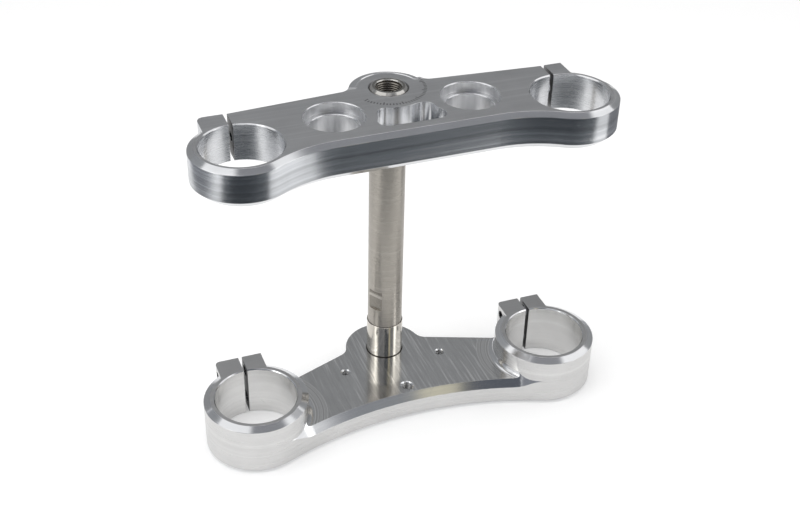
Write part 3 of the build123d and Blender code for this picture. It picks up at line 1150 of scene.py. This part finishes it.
@dataclass
class Studio:
    """The pale floor, the white surroundings, the soft lights and the toned cards.

    Attributes:
        floor_lift: How much the floor glows for the camera alone, which makes it white.
        floor_shine: How much it glows for reflections.
        sky: How strongly the surroundings light the part.
    """

    floor_reach: float = 6.0
    floor_white: float = 0.82
    floor_roughness: float = 0.9
    floor_lift: float = 0.275
    floor_shine: float = 0.12
    sky: float = 0.62
    lights: list[SoftBox] = field(default_factory=lambda: [
        SoftBox("overhead", (-0.22, -0.02, 1.15), (0.0, 0.0, 0.1), (0.75, 0.9), 5.5),
        SoftBox("right_side", (1.25, -0.25, 0.75), (0.0, 0.0, 0.1), (0.7, 0.9), 2.5),
        SoftBox("left_side", (-1.25, -0.15, 0.75), (0.0, 0.0, 0.1), (0.7, 0.9), 2.5),
    ])
    cards: list[Card] = field(default_factory=lambda: [
        Card("back_grey", (0.29, 0.295, 0.30), 134.0, 60.0, elevation=20.0, fade=0.12),
        Card("left_grey", (0.36, 0.37, 0.39), 34.0, 45.0, azimuth=-80.0, elevation=16.0),
        Card("left_high_grey", (0.30, 0.31, 0.32), 52.0, 22.0, azimuth=-52.0, elevation=40.0, fade=0.3),
        Card("behind_left", (0.245, 0.255, 0.28), 38.0, 58.0, azimuth=-160.0, elevation=29.0, fade=0.3),
        Card("behind_right", (0.26, 0.27, 0.285), 42.0, 66.0, azimuth=138.0, elevation=34.0, fade=0.5),
        Card("behind_dark", (0.105, 0.115, 0.135), 28.0, 46.0, azimuth=164.0, elevation=34.0, distance=1.4,
             fade=0.15),
        Card("behind_warm", (0.63, 0.59, 0.46), 9.0, 46.0, azimuth=145.5, elevation=30.0, distance=1.2, fade=0.3),
        Card("right_lamp", (2.7, 2.7, 2.65), 17.0, 32.0, azimuth=107.0, elevation=24.0, distance=1.1, fade=0.5),
        Card("left_lamp", (2.3, 2.3, 2.25), 18.0, 34.0, azimuth=-122.0, elevation=40.0, distance=1.1, fade=0.5),
        CeilingCard("ceiling_grey", (0.275, 0.28, 0.295), 1.24, 1.30, right=0.26, ahead=-0.18, fade=0.34),
        TableCard("table_front", (0.10, 0.11, 0.12), 1.54, 1.2, right=0.43, ahead=-0.835, fade=0.07),
        TableCard("table_front_far", (0.04, 0.045, 0.052), 0.8, 0.9, right=0.15, ahead=-0.82, lift=0.004,
                  fade=0.20),
        TableCard("table_left", (0.20, 0.21, 0.23), 0.9, 1.1, right=-0.84, ahead=0.10, fade=0.12),
        TableCard("table_right", (0.22, 0.225, 0.24), 1.1, 0.9, right=0.80, ahead=0.46, fade=0.12),
        TableCard("table_front_right", (0.11, 0.12, 0.13), 0.6, 0.5, right=0.62, ahead=-0.45, lift=0.003,
                  fade=0.12),
    ])

    def floor(self) -> bpy.types.Object:
        """Makes the pale floor, which keeps the part's soft shadow.

        Returns:
            The floor.
        """
        mesh = bpy.data.meshes.new("floor")
        reach = self.floor_reach
        corners = [(-reach, -reach, 0), (reach, -reach, 0), (reach, reach, 0), (-reach, reach, 0)]
        mesh.from_pydata(corners, [], [(0, 1, 2, 3)])
        floor = bpy.data.objects.new("floor", mesh)
        material = bpy.data.materials.new("pale_floor")
        material.use_nodes = True
        tree = material.node_tree
        shader = tree.nodes["Principled BSDF"]
        shader.inputs["Base Color"].default_value = (self.floor_white,) * 3 + (1.0,)
        shader.inputs["Roughness"].default_value = self.floor_roughness
        shader.inputs["Specular IOR Level"].default_value = 0.0
        path = tree.nodes.new("ShaderNodeLightPath")
        shine = add_math(tree, "MULTIPLY", path.outputs["Is Glossy Ray"], self.floor_shine)
        lift = add_math(tree, "MULTIPLY_ADD", path.outputs["Is Camera Ray"], self.floor_lift, shine)
        glow = add_node(tree, "ShaderNodeEmission", {"Color": (1.0, 1.0, 1.0, 1.0), "Strength": lift})
        both = add_node(tree, "ShaderNodeAddShader", {0: shader.outputs[0], 1: glow.outputs[0]})
        tree.links.new(both.outputs[0], tree.nodes["Material Output"].inputs["Surface"])
        mesh.materials.append(material)
        bpy.context.scene.collection.objects.link(floor)
        return floor

    def surroundings(self) -> None:
        """Makes the world white to the eye and soft on the part."""
        world = bpy.data.worlds.new("white_surroundings")
        bpy.context.scene.world = world
        world.use_nodes = True
        tree = world.node_tree
        path = tree.nodes.new("ShaderNodeLightPath")
        shine = add_math(tree, "MAXIMUM", path.outputs["Is Glossy Ray"], path.outputs["Is Transmission Ray"])
        seen = add_math(tree, "MAXIMUM", path.outputs["Is Camera Ray"], shine)
        strength = add_range(tree, seen, (0.0, 1.0), (self.sky, 1.0))
        tree.links.new(strength, tree.nodes["Background"].inputs["Strength"])
        tree.nodes["Background"].inputs["Color"].default_value = (1.0, 1.0, 1.0, 1.0)

    def build(self) -> None:
        """Sets up the whole studio."""
        self.floor()
        self.surroundings()
        for item in (*self.lights, *self.cards):
            item.build()
        bpy.context.scene.view_settings.view_transform = "Standard"
        log.info("set up the studio with %d lights and %d cards", len(self.lights), len(self.cards))


def main() -> None:
    """Builds the camera and the studio, then dresses every piece and cuts the threads."""
    logging.basicConfig(level=logging.INFO, format="%(message)s")
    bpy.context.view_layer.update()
    PhotoCamera().build()
    Studio().build()
    lower_clamp, upper_clamp, stem = LowerClamp(), UpperClamp(), SteeringStem()
    for piece in (lower_clamp, upper_clamp, stem):
        piece.dress()
    for thread in (*stem.threads(), *lower_clamp.threads()):
        thread.build()


if __name__ == "__main__":
    main()
